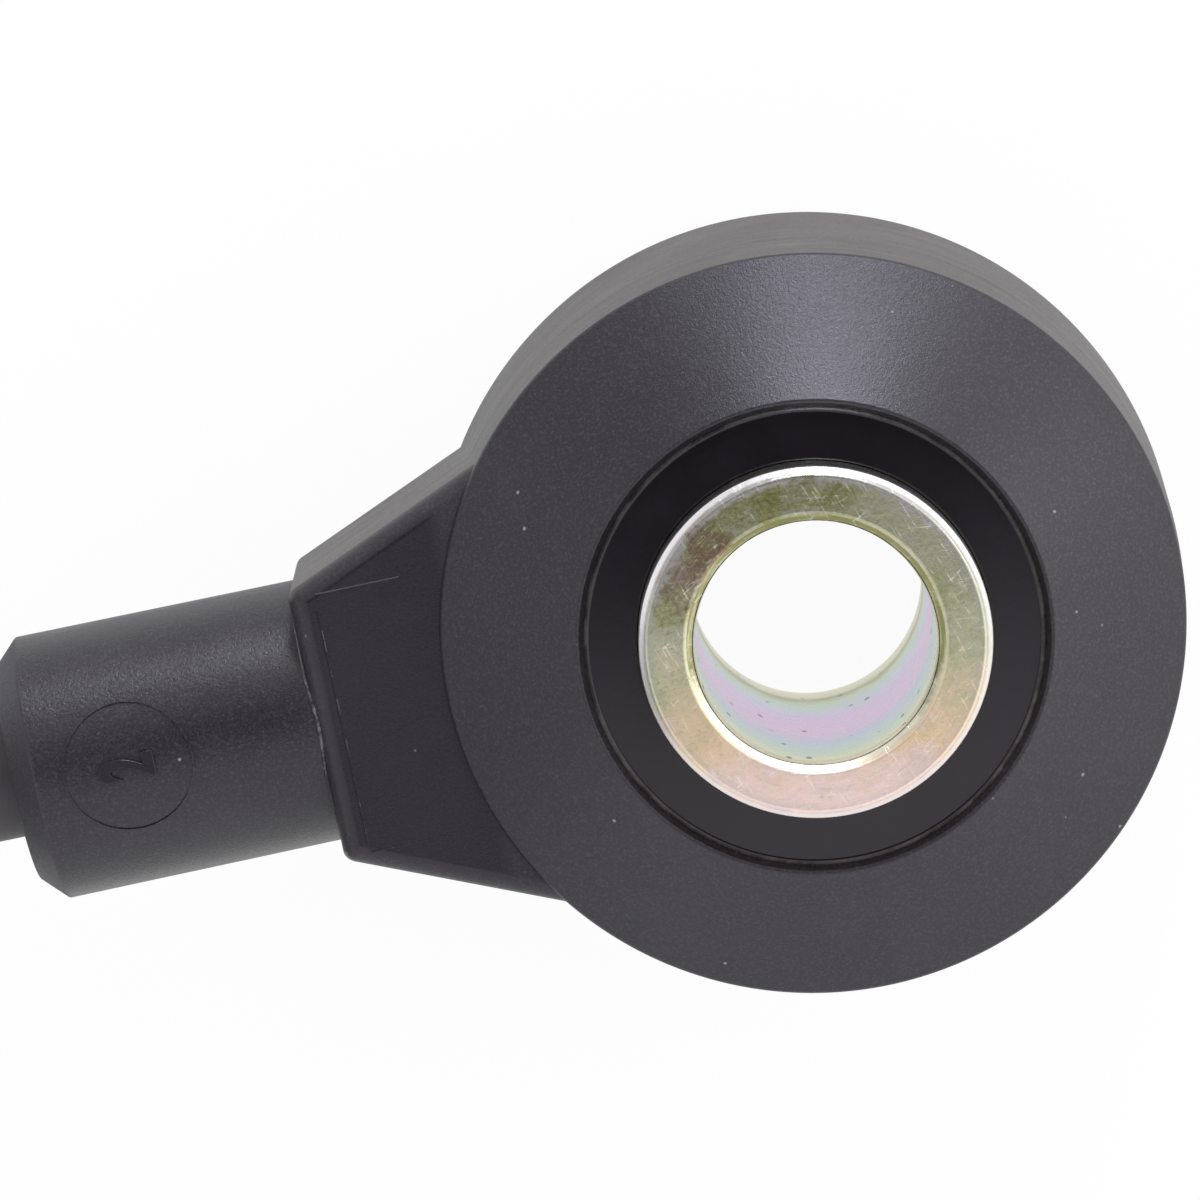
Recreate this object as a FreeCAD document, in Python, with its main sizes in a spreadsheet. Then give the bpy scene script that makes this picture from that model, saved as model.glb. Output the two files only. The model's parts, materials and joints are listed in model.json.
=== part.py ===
import FreeCAD, Part
import math
import os
import re

import Sketcher
from FreeCAD import Placement, Rotation, Vector

# Engine knock sensor with a flying lead. Millimetres.
# The origin is where the bolt hole's axis meets the contact face, +Z runs up the hole to the
# bolt seat, and the lead leaves along -X.

doc = FreeCAD.newDocument("knock_sensor")

# Driving dimensions: name, value and what it measures
DIMENSIONS = [
    ("bore_radius", 4.2, "clearance hole for an M8 bolt"),
    ("sleeve_wall", 1.95, "sleeve's barrel"),
    ("seat_chamfer", 0.3, "barrel's edge at the bolt seat"),
    ("lead_in_width", 0.25, "hole's steep lead-in at the bolt seat"),
    ("lead_in_depth", 0.65, "hole's steep lead-in at the bolt seat"),
    ("foot_chamfer", 0.3, "hole's edge at the contact face"),
    ("flange_thickness", 2.6, "flange at the foot of the sleeve"),
    ("flange_margin", 0.5, "flange wider than the stack"),
    ("grip_depth", 0.35, "grooves that hold the moulding"),
    ("grip_width", 0.55, "width of one groove"),
    ("grip_pitch", 1.15, "from one groove to the next"),
    ("film_thickness", 0.3, "film tube round the barrel"),
    ("stack_clearance", 0.1, "film tube to the rings on it"),
    ("washer_thickness", 0.25, "insulating washer"),
    ("washer_margin", 0.1, "insulating washer wider than the stack"),
    ("contact_thickness", 0.3, "contact disc and its tab"),
    ("ceramic_margin", 0.3, "ceramic and contact discs narrower than the stack"),
    ("ceramic_thickness", 3.0, "piezo-ceramic ring"),
    ("mass_width", 3.95, "seismic mass, from its hole to its edge"),
    ("mass_thickness", 3.6, "seismic mass"),
    ("spring_width", 2.75, "disc spring, from its hole to its edge"),
    ("spring_thickness", 0.6, "disc spring's sheet"),
    ("spring_rise", 0.4, "disc spring's cone when loaded"),
    ("nut_wall", 2.6, "ring nut, from the barrel to its edge"),
    ("nut_thickness", 2.2, "ring nut"),
    ("nut_chamfer", 0.4, "ring nut's upper edge"),
    ("key_slot_width", 2.0, "ring nut's slots for its key"),
    ("key_slot_depth", 1.1, "ring nut's slots for its key"),
    ("tab_width", 1.2, "contact tab"),
    ("tab_clearance", 1.1, "stack to the rise of a contact tab"),
    ("tab_length", 3.0, "flat end of a contact tab"),
    ("nut_cover", 2.6, "moulding over the ring nut"),
    ("recess_depth", 0.4, "floor of the recess below its rim"),
    ("recess_width", 1.82, "flat floor round the sleeve"),
    ("recess_slope", 0.28, "sloped wall of the recess"),
    ("seat_height", 1.5, "bolt seat above the rim"),
    ("cone_drop", 3.36, "rim to the shoulder"),
    ("moulding_wall", 2.6, "moulding round the stack"),
    ("wall_draft", 0.35, "outer wall spreads this much to its foot"),
    ("moulding_lift", 1.0, "moulding above the contact face"),
    ("shoulder_rounding", 0.15, "edge between cone and outer wall"),
    ("neck_height", 10.0, "neck, across the flat faces"),
    ("neck_length", 8.85, "neck, from inside the ring to its end"),
    ("neck_end_half_width", 4.84, "neck at its end"),
    ("neck_flare", 3.72, "neck's half width gained at the ring"),
    ("neck_rounding", 0.7, "edges of the neck"),
    ("boot_radius", 4.7, "round boot at the neck"),
    ("boot_spread", 0.05, "boot wider at its end"),
    ("boot_chamfer", 0.87, "boot's end"),
    ("cable_axis_height", 8.0, "lead's axis above the contact face"),
    ("cable_radius", 2.3, "outside of the jacket"),
    ("jacket_wall", 0.6, "jacket"),
    ("jacket_grip", 10.2, "jacket held in neck and boot"),
    ("jacket_inset", 0.75, "jacket's end outside the neck's end"),
    ("core_offset", 0.8, "core from the lead's axis"),
    ("core_radius", 0.6, "insulated core"),
    ("conductor_radius", 0.35, "bare strand"),
    ("strand_seat", 0.27, "strand's axis above its tab"),
    ("core_strip", 0.8, "bare strand between tab and insulation"),
    ("core_bare_length", 3.2, "cores outside the jacket"),
    ("weld_length", 2.0, "bare strand on the tab"),
    ("braid_thickness", 0.2, "shield braid"),
    ("braid_fold", 3.4, "braid folded back over the jacket"),
    ("ferrule_thickness", 0.35, "crimp ferrule"),
    ("ferrule_length", 3.0, "crimp ferrule"),
    ("coil_radius", 24.0, "lead's coil at the middle of its turns"),
    ("layer_gap", 0.05, "between the coil's turns"),
    ("bench_gap", 0.03, "coil above the contact face's level"),
    ("coil_x", -72.0, "coil's centre, along the lead"),
    ("coil_y", -12.0, "coil's centre, across"),
    ("plug_x", -93.8, "lead's entry into the connector"),
    ("plug_y", -14.8, "lead's entry into the connector"),
    ("plug_approach", 9.65, "lead's straight run into the connector"),
    ("plug_width", 18.0, "connector across its terminals"),
    ("plug_height", 13.0, "connector"),
    ("shroud_wall", 1.4, "wall round the terminals"),
    ("shroud_depth", 10.5, "space round the terminals"),
    ("web_thickness", 3.0, "wall that the terminals pass through"),
    ("cavity_length", 6.5, "bores behind the web"),
    ("cavity_radius", 1.7, "bores behind the web"),
    ("waist_step", 1.0, "connector's body narrower than its shroud, each side"),
    ("plug_rounding", 0.8, "connector's long edges"),
    ("terminal_pitch", 4.5, "from one terminal to the next"),
    ("blade_width", 2.0, "terminal blade"),
    ("blade_thickness", 0.64, "terminal blade"),
    ("blade_inset", 2.6, "blade's tip behind the shroud's mouth"),
    ("crimp_length", 3.2, "terminal's barrel on its lead"),
    ("crimp_wall", 0.35, "terminal's barrel"),
    ("seal_length", 2.5, "wire seal"),
    ("seal_groove", 0.25, "wire seal's groove"),
    ("lock_thickness", 1.4, "terminal lock"),
    ("lock_width", 13.4, "terminal lock"),
    ("lock_depth", 1.6, "terminal lock below the blades"),
    ("latch_width", 5.0, "ramp for the mating latch"),
    ("latch_length", 5.0, "ramp for the mating latch"),
    ("latch_height", 1.3, "ramp for the mating latch"),
    ("strain_length", 6.5, "rubber boot outside the connector"),
    ("strain_end_radius", 3.3, "rubber boot at the lead"),
    ("strain_root_radius", 5.5, "rubber boot at the connector"),
    ("strain_groove", 0.5, "rings cut in the rubber boot"),
    ("strain_cable_grip", 2.6, "jacket in the rubber boot"),
    ("lip_length", 3.0, "rubber boot's plug in the connector"),
    ("lip_margin", 2.2, "connector's wall round that plug"),
    ("lead_room", 1.4, "half height of the rubber boot's inside"),
    ("lead_offset", 1.25, "outer leads at the jacket's end"),
    ("lead_gap", 0.3, "rubber boot's inside clear of the leads"),
]

sheet = doc.addObject("Spreadsheet::Sheet", "Sizes")
for row, (alias, value, meaning) in enumerate(DIMENSIONS, 1):
    sheet.set(f"A{row}", alias)
    sheet.set(f"B{row}", str(value))
    sheet.set(f"C{row}", meaning)
    sheet.setAlias(f"B{row}", alias)
doc.recompute()
NAMES = {alias for alias, _, _ in DIMENSIONS}


def linked(formula):
    """The formula with each dimension's name pointing at the sheet."""
    return re.sub(r"[a-z_]+", lambda word: "Sizes." + word[0] if word[0] in NAMES else word[0], formula)


def size(formula):
    """A formula's value in millimetres."""
    return float(sheet.evalExpression(formula))


# Heights up the sleeve, each piece standing on the one before
LOWER_WASHER = "flange_thickness"
LOWER_CONTACT = f"({LOWER_WASHER} + washer_thickness)"
CERAMIC = f"({LOWER_CONTACT} + contact_thickness)"
UPPER_CONTACT = f"({CERAMIC} + ceramic_thickness)"
UPPER_WASHER = f"({UPPER_CONTACT} + contact_thickness)"
MASS = f"({UPPER_WASHER} + washer_thickness)"
SPRING = f"({MASS} + mass_thickness)"
NUT = f"({SPRING} + spring_rise + spring_thickness)"
NUT_TOP = f"({NUT} + nut_thickness)"
RECESS_FLOOR = f"({NUT_TOP} + nut_cover)"
RIM = f"({RECESS_FLOOR} + recess_depth)"
BOLT_SEAT = f"({RIM} + seat_height)"
SHOULDER = f"({RIM} - cone_drop)"

# Radii
SLEEVE_RADIUS = "(bore_radius + sleeve_wall)"
FILM_RADIUS = f"({SLEEVE_RADIUS} + film_thickness)"
RING_BORE = f"({FILM_RADIUS} + stack_clearance)"
STACK_RADIUS = f"({RING_BORE} + mass_width)"
SPRING_RADIUS = f"({RING_BORE} + spring_width)"
FLANGE_RADIUS = f"({STACK_RADIUS} + flange_margin)"
CERAMIC_RADIUS = f"({STACK_RADIUS} - ceramic_margin)"
WASHER_RADIUS = f"({STACK_RADIUS} + washer_margin)"
NUT_RADIUS = f"({SLEEVE_RADIUS} + nut_wall)"
RECESS_RADIUS = f"({SLEEVE_RADIUS} + recess_width)"
RIM_RADIUS = f"({RECESS_RADIUS} + recess_slope)"
SHOULDER_RADIUS = f"({STACK_RADIUS} + moulding_wall)"
FOOT_RADIUS = f"({SHOULDER_RADIUS} + wall_draft)"

# Distances from the hole's axis along the lead
TAB_RISE = f"({STACK_RADIUS} + tab_clearance)"
TAB_END = f"({TAB_RISE} + tab_length)"
CONDUCTOR_START = f"({TAB_END} - weld_length)"
CORE_START = f"({TAB_END} + core_strip)"
JACKET_START = f"({CORE_START} + core_bare_length)"
NECK_END = f"({JACKET_START} - jacket_inset)"
NECK_ROOT = f"({NECK_END} - neck_length)"
BOOT_END = f"({JACKET_START} + jacket_grip)"


def new_body(label):
    body = doc.addObject("PartDesign::Body", label + "_body")
    body.Label = label
    return body


def new_sketch(body, plane, along):
    """An empty sketch, moved across and up its plane and off it by three formulas."""
    sketch = body.newObject("Sketcher::SketchObject", body.Label + "_sketch")
    support = next(feature for feature in body.Origin.OriginFeatures if feature.Role == plane)
    sketch.AttachmentSupport = [(support, "")]
    sketch.MapMode = "FlatFace"
    for direction, formula in zip("xyz", along):
        if formula != "0":
            sketch.setExpression(f"AttachmentOffset.Base.{direction}", linked(formula))
    return sketch


def hold(sketch, item, vertex, place):
    """Tie a vertex to its place, a pair of formulas; a "0" puts it on the sketch's axis."""
    for kind, formula, axis in (("DistanceX", place[0], -2), ("DistanceY", place[1], -1)):
        if formula == "0":
            sketch.addConstraint(Sketcher.Constraint("PointOnObject", item, vertex, axis))
        else:
            index = sketch.addConstraint(Sketcher.Constraint(kind, -1, 1, item, vertex, size(formula)))
            sketch.setExpression(f"Constraints[{index}]", linked(formula))


def outline(body, plane, corners, along=("0", "0", "0")):
    """A closed outline on one of the body's planes, each corner a pair of formulas."""
    sketch = new_sketch(body, plane, along)
    points = [Vector(size(across), size(up), 0) for across, up in corners]
    for start, end in zip(points, points[1:] + points[:1]):
        sketch.addGeometry(Part.LineSegment(start, end), False)
    for side in range(len(points)):
        sketch.addConstraint(Sketcher.Constraint("Coincident", side, 2, (side + 1) % len(points), 1))
    for side, corner in enumerate(corners):
        hold(sketch, side, 1, corner)
    return sketch


def circles(body, plane, centres, radius, along=("0", "0", "0")):
    """Circles of one radius on one of the body's planes, each centre a pair of formulas."""
    sketch = new_sketch(body, plane, along)
    for number, centre in enumerate(centres):
        middle = Vector(size(centre[0]), size(centre[1]), 0)
        sketch.addGeometry(Part.Circle(middle, Vector(0, 0, 1), size(radius)), False)
        index = sketch.addConstraint(Sketcher.Constraint("Radius", number, size(radius)))
        sketch.setExpression(f"Constraints[{index}]", linked(radius))
        hold(sketch, number, 3, centre)
    return sketch


def revolve(body, sketch, axis="V_Axis"):
    turned = body.newObject("PartDesign::Revolution", body.Label + "_turned")
    turned.Profile = sketch
    turned.ReferenceAxis = (sketch, [axis])
    turned.Angle = 360
    return turned


def pad(body, sketch, length, backwards=False, both_ways=False):
    raised = body.newObject("PartDesign::Pad", body.Label + "_pad")
    raised.Profile = sketch
    raised.setExpression("Length", linked(length))
    raised.Reversed = backwards
    if both_ways:
        raised.SideType = "Symmetric"
    return raised


def pocket(body, sketch, length, backwards=False, both_ways=False):
    """A pocket, which has to take material away."""
    doc.recompute()
    before = body.Shape.Volume
    cut = body.newObject("PartDesign::Pocket", body.Label + "_pocket")
    cut.Profile = sketch
    cut.setExpression("Length", linked(length))
    cut.Reversed = backwards
    if both_ways:
        cut.SideType = "Symmetric"
    doc.recompute()
    if body.Shape.Volume >= before:
        raise ValueError(f"{body.Label}: a pocket cuts nothing")
    return cut


def round_edges(body, wanted, radius):
    """Round the edges of the body so far that the test picks."""
    doc.recompute()
    edges = [f"Edge{number}" for number, edge in enumerate(body.Shape.Edges, 1) if wanted(edge)]
    if not edges:
        raise ValueError(f"{body.Label}: no edge to round")
    base = body.Tip
    rounding = body.newObject("PartDesign::Fillet", body.Label + "_edges")
    rounding.Base = (base, edges)
    rounding.setExpression("Radius", linked(radius))
    return rounding


def turned_body(label, corners, plane="XZ_Plane", axis="V_Axis", along=("0", "0", "0")):
    """A turned piece: its section's corners, as radius and height, about the hole's axis."""
    body = new_body(label)
    revolve(body, outline(body, plane, corners, along), axis)
    return body


def ring(label, inner, outer, base, height):
    """A flat ring that stands at a height on the sleeve."""
    top = f"({base} + {height})"
    return turned_body(label, [(inner, base), (outer, base), (outer, top), (inner, top)])


def turned_on_cable(label, corners, side="0"):
    """A piece turned about the lead's axis: corners as distance along it and radius."""
    return turned_body(label, corners, axis="H_Axis", along=("0", "cable_axis_height", side))


def tube_on_cable(label, inner, outer, start, end, side="0"):
    """A straight tube or rod about the lead's axis or beside it."""
    corners = [(f"-{start}", inner), (f"-{start}", outer), (f"-{end}", outer), (f"-{end}", inner)]
    return turned_on_cable(label, corners, side)


def joined(label, shapes):
    fuse = doc.addObject("Part::MultiFuse", label + "_joined")
    fuse.Label = label
    fuse.Shapes = shapes
    return fuse


def cut_by(label, base, tool):
    cut = doc.addObject("Part::Cut", label + "_cut")
    cut.Label = label
    cut.Base = base
    cut.Tool = tool
    return cut


# Two grooves round the sleeve's barrel, under the recess floor
LAST_GROOVE = f"({RECESS_FLOOR} - 1.5 * grip_width)"
grooves = []
for foot in (f"({LAST_GROOVE} - grip_pitch)", LAST_GROOVE):
    grooves += [
        (SLEEVE_RADIUS, foot),
        (f"({SLEEVE_RADIUS} - grip_depth)", foot),
        (f"({SLEEVE_RADIUS} - grip_depth)", f"({foot} + grip_width)"),
        (SLEEVE_RADIUS, f"({foot} + grip_width)"),
    ]

# Steel sleeve with its bolt flange
sleeve = turned_body(
    "sleeve",
    [
        ("bore_radius", "foot_chamfer"),
        ("(bore_radius + foot_chamfer)", "0"),
        (FLANGE_RADIUS, "0"),
        (FLANGE_RADIUS, "flange_thickness"),
        (SLEEVE_RADIUS, "flange_thickness"),
        *grooves,
        (SLEEVE_RADIUS, f"({BOLT_SEAT} - seat_chamfer)"),
        (f"({SLEEVE_RADIUS} - seat_chamfer)", BOLT_SEAT),
        ("(bore_radius + lead_in_width)", BOLT_SEAT),
        ("bore_radius", f"({BOLT_SEAT} - lead_in_depth)"),
    ],
)

# Film tube round the barrel, up to the top of the seismic mass
film_height = f"({SPRING} - {LOWER_WASHER})"
insulating_tube = ring("insulating_tube", SLEEVE_RADIUS, FILM_RADIUS, LOWER_WASHER, film_height)

# Insulating washers, ceramic and seismic mass
lower_washer = ring("lower_insulating_washer", RING_BORE, WASHER_RADIUS, LOWER_WASHER, "washer_thickness")
ceramic = ring("piezo_ring", RING_BORE, CERAMIC_RADIUS, CERAMIC, "ceramic_thickness")
upper_washer = ring("upper_insulating_washer", RING_BORE, WASHER_RADIUS, UPPER_WASHER, "washer_thickness")
seismic_mass = ring("seismic_mass", RING_BORE, STACK_RADIUS, MASS, "mass_thickness")


def contact_disc(label, base, side):
    """A sheet ring with a tab that rises beside the stack and ends flat under its conductor."""
    disc = ring(label, RING_BORE, CERAMIC_RADIUS, base, "contact_thickness")
    root = f"({CERAMIC_RADIUS} - contact_thickness)"
    top = "(cable_axis_height - strand_seat)"
    tab = [
        (f"-{root}", base),
        (f"-({TAB_RISE} + contact_thickness)", base),
        (f"-({TAB_RISE} + contact_thickness)", f"({top} - contact_thickness)"),
        (f"-{TAB_END}", f"({top} - contact_thickness)"),
        (f"-{TAB_END}", top),
        (f"-{TAB_RISE}", top),
        (f"-{TAB_RISE}", f"({base} + contact_thickness)"),
        (f"-{root}", f"({base} + contact_thickness)"),
    ]
    pad(disc, outline(disc, "XZ_Plane", tab, ("0", "0", side)), "tab_width", both_ways=True)
    return disc


lower_contact = contact_disc("lower_contact_disc", LOWER_CONTACT, "core_offset")
upper_contact = contact_disc("upper_contact_disc", UPPER_CONTACT, "-core_offset")

# Disc spring: its outer edge bears on the mass, its inner edge under the nut
disc_spring = turned_body(
    "disc_spring",
    [
        (RING_BORE, f"({SPRING} + spring_rise)"),
        (SPRING_RADIUS, SPRING),
        (SPRING_RADIUS, f"({SPRING} + spring_thickness)"),
        (RING_BORE, f"({SPRING} + spring_rise + spring_thickness)"),
    ],
)

# Ring nut with four key slots
ring_nut = turned_body(
    "ring_nut",
    [
        (SLEEVE_RADIUS, NUT),
        (NUT_RADIUS, NUT),
        (NUT_RADIUS, f"({NUT_TOP} - nut_chamfer)"),
        (f"({NUT_RADIUS} - nut_chamfer)", NUT_TOP),
        (SLEEVE_RADIUS, NUT_TOP),
    ],
)
KEY_SLOTS = 4
slot_corners = [
    (f"({NUT_RADIUS} - key_slot_depth)", "-key_slot_width / 2"),
    (f"({NUT_RADIUS} + key_slot_depth)", "-key_slot_width / 2"),
    (f"({NUT_RADIUS} + key_slot_depth)", "key_slot_width / 2"),
    (f"({NUT_RADIUS} - key_slot_depth)", "key_slot_width / 2"),
]
slot_sketch = outline(ring_nut, "XY_Plane", slot_corners, ("0", "0", NUT))
key_slot = pocket(ring_nut, slot_sketch, "nut_thickness", backwards=True)
slots = ring_nut.newObject("PartDesign::PolarPattern", "ring_nut_slots")
slots.Originals = [key_slot]
slots.Axis = (slot_sketch, ["N_Axis"])
slots.Angle = 360
slots.Occurrences = KEY_SLOTS
ring_nut.Tip = slots

# The two cores: strands welded flat on the tabs, and their insulation
weld_corners = [
    (f"-{TAB_END}", "-cable_radius"),
    (f"-{TAB_END}", "cable_radius"),
    (f"-{TAB_RISE}", "cable_radius"),
    (f"-{TAB_RISE}", "-cable_radius"),
]
cores = []
for name, side in (("signal", "core_offset"), ("ground", "-core_offset")):
    strand = tube_on_cable(f"{name}_conductor", "0", "conductor_radius", CONDUCTOR_START, BOOT_END, side)
    weld = outline(strand, "XY_Plane", weld_corners, ("0", "0", "cable_axis_height - strand_seat"))
    pocket(strand, weld, "conductor_radius")
    cover = tube_on_cable(f"{name}_insulation", "conductor_radius", "core_radius", CORE_START, BOOT_END, side)
    cores += [strand, cover]

# Jacket's end in the boot, the braid folded back over it and the ferrule on the fold
JACKET_BORE = "(cable_radius - jacket_wall)"
BRAID_BORE = f"({JACKET_BORE} - braid_thickness)"
BRAID_FOLD = "(cable_radius + braid_thickness)"
cable_entry = tube_on_cable("cable_entry", JACKET_BORE, "cable_radius", JACKET_START, BOOT_END)
braid_front = f"({JACKET_START} - braid_thickness)"
shield_braid = turned_on_cable(
    "shield_braid",
    [
        (f"-{braid_front}", BRAID_BORE),
        (f"-{braid_front}", BRAID_FOLD),
        (f"-({JACKET_START} + braid_fold)", BRAID_FOLD),
        (f"-({JACKET_START} + braid_fold)", "cable_radius"),
        (f"-{JACKET_START}", "cable_radius"),
        (f"-{JACKET_START}", JACKET_BORE),
        (f"-{BOOT_END}", JACKET_BORE),
        (f"-{BOOT_END}", BRAID_BORE),
    ],
)
crimp_ferrule = tube_on_cable(
    "crimp_ferrule",
    BRAID_FOLD,
    f"({BRAID_FOLD} + ferrule_thickness)",
    JACKET_START,
    f"({JACKET_START} + ferrule_length)",
)

# The moulding's outside: ring, neck and boot in one shot, still solid inside
moulding = new_body("moulding_outside")
revolve(
    moulding,
    outline(
        moulding,
        "XZ_Plane",
        [
            ("0", "moulding_lift"),
            (FOOT_RADIUS, "moulding_lift"),
            (SHOULDER_RADIUS, SHOULDER),
            (RIM_RADIUS, RIM),
            (RECESS_RADIUS, RECESS_FLOOR),
            ("0", RECESS_FLOOR),
        ],
    ),
)
neck_root_half_width = "(neck_end_half_width + neck_flare)"
neck_corners = [
    (f"-{NECK_END}", "-neck_end_half_width"),
    (f"-{NECK_END}", "neck_end_half_width"),
    (f"-{NECK_ROOT}", neck_root_half_width),
    (f"-{NECK_ROOT}", f"-{neck_root_half_width}"),
]
neck_sketch = outline(moulding, "XY_Plane", neck_corners, ("0", "0", "cable_axis_height"))
pad(moulding, neck_sketch, "neck_height", both_ways=True)


def on_neck_edge(edge):
    """The neck's flat edges outside the ring."""
    middle = edge.CenterOfMass
    flat = abs(edge.BoundBox.ZLength) < 1e-6 and isinstance(edge.Curve, Part.Line)
    return flat and -middle.x > size(SHOULDER_RADIUS) - size("moulding_wall")


round_edges(moulding, on_neck_edge, "neck_rounding")
boot_end_radius = "(boot_radius + boot_spread)"
boot_corners = [
    (f"-{NECK_ROOT}", "0"),
    (f"-{NECK_ROOT}", "boot_radius"),
    (f"-{NECK_END}", "boot_radius"),
    (f"-({BOOT_END} - boot_chamfer)", boot_end_radius),
    (f"-{BOOT_END}", f"({boot_end_radius} - boot_chamfer)"),
    (f"-{BOOT_END}", "0"),
]
boot_sketch = outline(moulding, "XZ_Plane", boot_corners, ("0", "cable_axis_height", "0"))
revolve(moulding, boot_sketch, "H_Axis")


def on_shoulder(edge):
    """The round edge between the cone and the outer wall."""
    box = edge.BoundBox
    level = abs(box.ZLength) < 1e-6 and abs(box.ZMax - size(SHOULDER)) < 1e-4
    return level and box.XMax > size(SHOULDER_RADIUS) - 1e-3


round_edges(moulding, on_shoulder, "shoulder_rounding")

# Everything that the moulding flows round, down to the hole's axis
spring_slope = f"spring_rise / ({SPRING_RADIUS} - {RING_BORE})"
core_space = turned_body(
    "core_space",
    [
        ("0", "-moulding_lift"),
        (FLANGE_RADIUS, "-moulding_lift"),
        (FLANGE_RADIUS, LOWER_WASHER),
        (WASHER_RADIUS, LOWER_WASHER),
        (WASHER_RADIUS, LOWER_CONTACT),
        (CERAMIC_RADIUS, LOWER_CONTACT),
        (CERAMIC_RADIUS, UPPER_WASHER),
        (WASHER_RADIUS, UPPER_WASHER),
        (WASHER_RADIUS, MASS),
        (STACK_RADIUS, MASS),
        (STACK_RADIUS, SPRING),
        (SPRING_RADIUS, SPRING),
        (SPRING_RADIUS, f"({SPRING} + spring_thickness)"),
        (NUT_RADIUS, f"({SPRING} + spring_thickness + {spring_slope} * ({SPRING_RADIUS} - {NUT_RADIUS}))"),
        (NUT_RADIUS, NUT),
        (SLEEVE_RADIUS, NUT),
        *grooves,
        (SLEEVE_RADIUS, BOLT_SEAT),
        ("0", BOLT_SEAT),
    ],
)
buried = joined(
    "buried_pieces",
    [
        core_space,
        ring_nut,
        lower_contact,
        upper_contact,
        *cores,
        shield_braid,
        crimp_ferrule,
        tube_on_cable("jacket_space", "0", "cable_radius", JACKET_START, BOOT_END),
    ],
)
housing = cut_by("housing", moulding, buried)


# The connector, drawn from where the lead enters it, with its mouth towards -X
LIP_START = "strain_length"
CAVITY_START = f"({LIP_START} + lip_length)"
WEB_START = f"({CAVITY_START} + cavity_length)"
SHROUD_START = f"({WEB_START} + web_thickness)"
MOUTH = f"({SHROUD_START} + shroud_depth)"
PLUG_AXIS = "(4 * cable_radius + 2 * layer_gap + bench_gap + plug_height / 2)"
TERMINALS = 3
lateral = [f"({number - (TERMINALS - 1) / 2:g} * terminal_pitch)" for number in range(TERMINALS)]


def block(half_width, half_height):
    return [
        (f"-{half_width}", f"-{half_height}"),
        (half_width, f"-{half_height}"),
        (half_width, half_height),
        (f"-{half_width}", half_height),
    ]


def at(distance):
    """A sketch this far from the lead's entry towards the mouth."""
    return ("0", "0", f"-{distance}")


def long_corner(reach):
    """Picks the connector's long edges that lie at least this far to a side."""
    def wanted(edge):
        box = edge.BoundBox
        straight = box.YLength < 1e-6 and box.ZLength < 1e-6
        return straight and abs(box.YMax) > size(reach) - 1e-3
    return wanted


shell = new_body("connector_outside")
half_waist = "(plug_width / 2 - waist_step)"
long_rounding = "min(plug_rounding; 0.9 * waist_step)"
waist_sketch = outline(shell, "YZ_Plane", block(half_waist, "(plug_height / 2)"), at(LIP_START))
pad(shell, waist_sketch, f"({SHROUD_START} - {LIP_START})", backwards=True)
round_edges(shell, long_corner(half_waist), long_rounding)
shroud_sketch = outline(shell, "YZ_Plane", block("(plug_width / 2)", "(plug_height / 2)"), at(WEB_START))
pad(shell, shroud_sketch, f"({MOUTH} - {WEB_START})", backwards=True)
round_edges(shell, long_corner("plug_width / 2"), long_rounding)
mouth_room = block("(plug_width / 2 - shroud_wall)", "(plug_height / 2 - shroud_wall)")
pocket(shell, outline(shell, "YZ_Plane", mouth_room, at(SHROUD_START)), "shroud_depth")
lip_room = block(f"({half_waist} - lip_margin)", "(plug_height / 2 - lip_margin)")
pocket(shell, outline(shell, "YZ_Plane", lip_room, at(LIP_START)), "lip_length")
cavities = circles(shell, "YZ_Plane", [(place, "0") for place in lateral], "cavity_radius", at(CAVITY_START))
pocket(shell, cavities, "cavity_length")
latch_foot = f"({MOUTH} - shroud_depth / 2)"
latch_corners = [
    (f"-({latch_foot})", "(plug_height / 2 - shroud_wall / 2)"),
    (f"-({latch_foot} + latch_length)", "(plug_height / 2 - shroud_wall / 2)"),
    (f"-({latch_foot} + latch_length)", "(plug_height / 2)"),
    (f"-({latch_foot})", "(plug_height / 2 + latch_height)"),
]
pad(shell, outline(shell, "XZ_Plane", latch_corners), "latch_width", both_ways=True)

# Terminal lock: a comb that straddles the blades
half_blade = "(blade_thickness / 2)"
comb_corners = [("-lock_width / 2", "plug_height / 2"), ("-lock_width / 2", "-lock_depth")]
for place in lateral:
    comb_corners += [
        (f"({place} - blade_width / 2)", "-lock_depth"),
        (f"({place} - blade_width / 2)", half_blade),
        (f"({place} + blade_width / 2)", half_blade),
        (f"({place} + blade_width / 2)", "-lock_depth"),
    ]
comb_corners += [("lock_width / 2", "-lock_depth"), ("lock_width / 2", "plug_height / 2")]
terminal_lock = new_body("terminal_lock")
comb_start = f"({WEB_START} + (web_thickness - lock_thickness) / 2)"
comb_sketch = outline(terminal_lock, "YZ_Plane", comb_corners, at(comb_start))
pad(terminal_lock, comb_sketch, "lock_thickness", backwards=True)


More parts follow.
